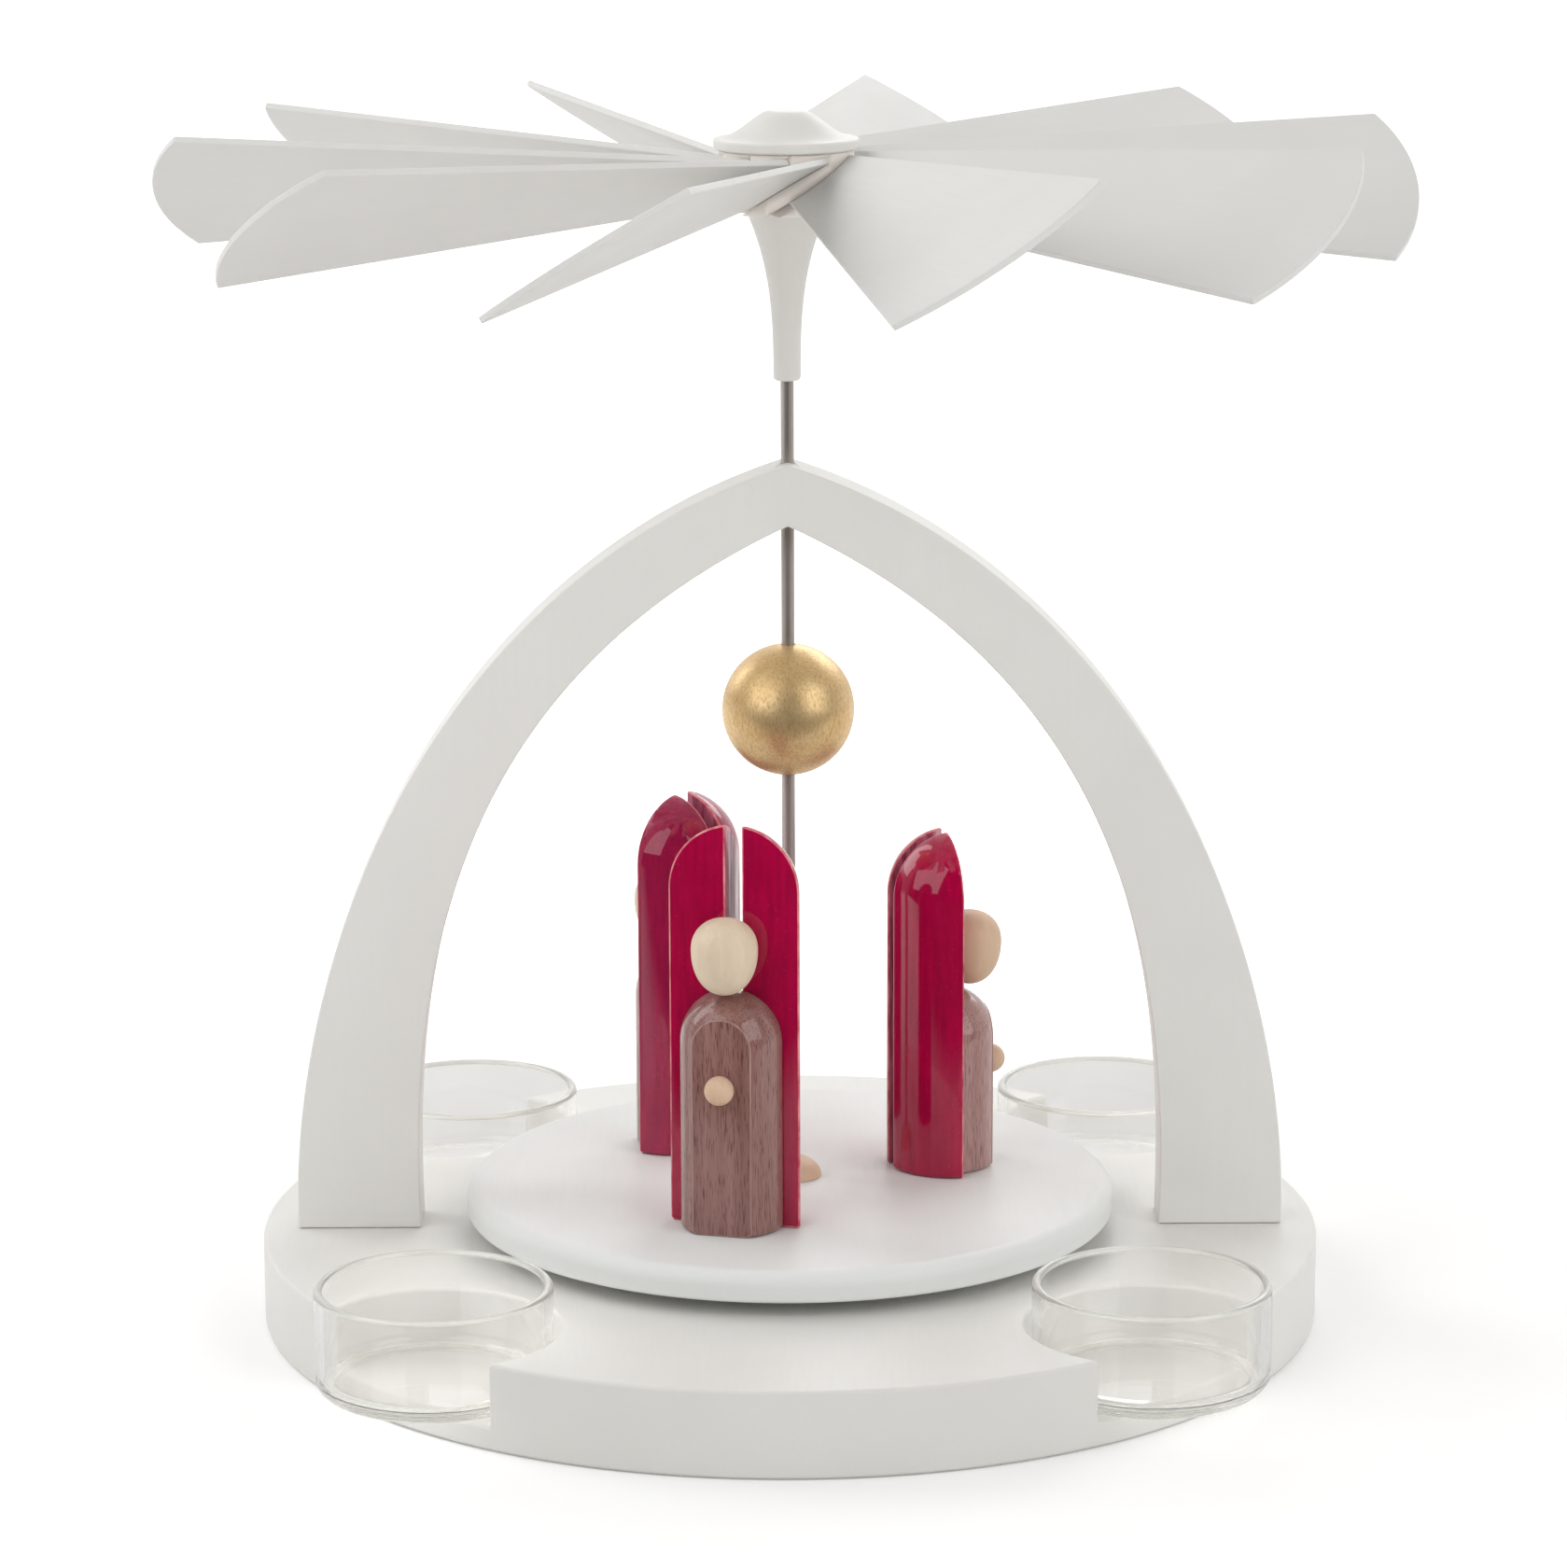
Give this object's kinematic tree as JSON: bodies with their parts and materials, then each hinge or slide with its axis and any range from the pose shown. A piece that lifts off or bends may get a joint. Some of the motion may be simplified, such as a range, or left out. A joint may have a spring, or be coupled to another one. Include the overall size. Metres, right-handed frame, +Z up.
{
  "type": "christmas pyramid",
  "caption": "Candle-driven pyramid: a bladed fan on a steel shaft turns a round table of winged figures under a pointed arch, on a round base with tealight glasses in pockets.",
  "frame": {"origin": "centre of the underside of the base plate, on the shaft's axis", "axes": "+Z up along the shaft, +X to the right along the arch and along one pair of blades, -Y to the front"},
  "size_m": [0.28, 0.2702, 0.2746],
  "materials": {
    "white_lacquer": "satin white lacquer",
    "red_lacquer": "glossy crimson lacquer",
    "stained_wood": "varnished brown stain",
    "pale_wood": "natural, matte",
    "gold_paint": "matte gold paint",
    "steel": "drawn rod",
    "brass": "turned",
    "clear_glass": "clear, polished"
  },
  "bodies": {
    "stand": {"base_plate": "white_lacquer", "arch": "white_lacquer", "arch_dowel_1": "pale_wood", "arch_dowel_2": "pale_wood", "arch_dowel_3": "pale_wood", "arch_dowel_4": "pale_wood", "bearing_cup": "brass", "arch_bush": "brass"},
    "rotor": {"shaft": "steel", "turntable": "white_lacquer", "turntable_boss": "pale_wood", "gold_ball": "gold_paint", "angel_1_body": "stained_wood", "angel_1_head": "pale_wood", "angel_1_hand": "pale_wood", "angel_1_wing_left": "red_lacquer", "angel_1_wing_right": "red_lacquer", "angel_1_foot_dowel": "pale_wood", "angel_2_body": "stained_wood", "angel_2_head": "pale_wood", "angel_2_hand": "pale_wood", "angel_2_wing_left": "red_lacquer", "angel_2_wing_right": "red_lacquer", "angel_2_foot_dowel": "pale_wood", "angel_3_body": "stained_wood", "angel_3_head": "pale_wood", "angel_3_hand": "pale_wood", "angel_3_wing_left": "red_lacquer", "angel_3_wing_right": "red_lacquer", "angel_3_foot_dowel": "pale_wood"},
    "fan": {"fan_neck": "white_lacquer", "fan_hub": "white_lacquer", "fan_cap": "white_lacquer", "fan_blade_01": "white_lacquer", "fan_blade_02": "white_lacquer", "fan_blade_03": "white_lacquer", "fan_blade_04": "white_lacquer", "fan_blade_05": "white_lacquer", "fan_blade_06": "white_lacquer", "fan_blade_07": "white_lacquer", "fan_blade_08": "white_lacquer", "fan_blade_09": "white_lacquer", "fan_blade_10": "white_lacquer"},
    "glass_1": {"tealight_glass_1": "clear_glass"},
    "glass_2": {"tealight_glass_2": "clear_glass"},
    "glass_3": {"tealight_glass_3": "clear_glass"},
    "glass_4": {"tealight_glass_4": "clear_glass"}
  },
  "joints": [
    {"name": "rotor_spin", "type": "hinge", "parent": "stand", "child": "rotor", "pos_m": [0, 0, 0], "axis": [0, 0, 1], "continuous": true},
    {"name": "fan_lift", "type": "slide", "parent": "rotor", "child": "fan", "axis": [0, 0, 1], "range_m": [0, 0.06]},
    {"name": "glass_1_lift", "type": "slide", "parent": "stand", "child": "glass_1", "axis": [0, 0, 1], "range_m": [0, 0.04]},
    {"name": "glass_2_lift", "type": "slide", "parent": "stand", "child": "glass_2", "axis": [0, 0, 1], "range_m": [0, 0.04]},
    {"name": "glass_3_lift", "type": "slide", "parent": "stand", "child": "glass_3", "axis": [0, 0, 1], "range_m": [0, 0.04]},
    {"name": "glass_4_lift", "type": "slide", "parent": "stand", "child": "glass_4", "axis": [0, 0, 1], "range_m": [0, 0.04]}
  ]
}
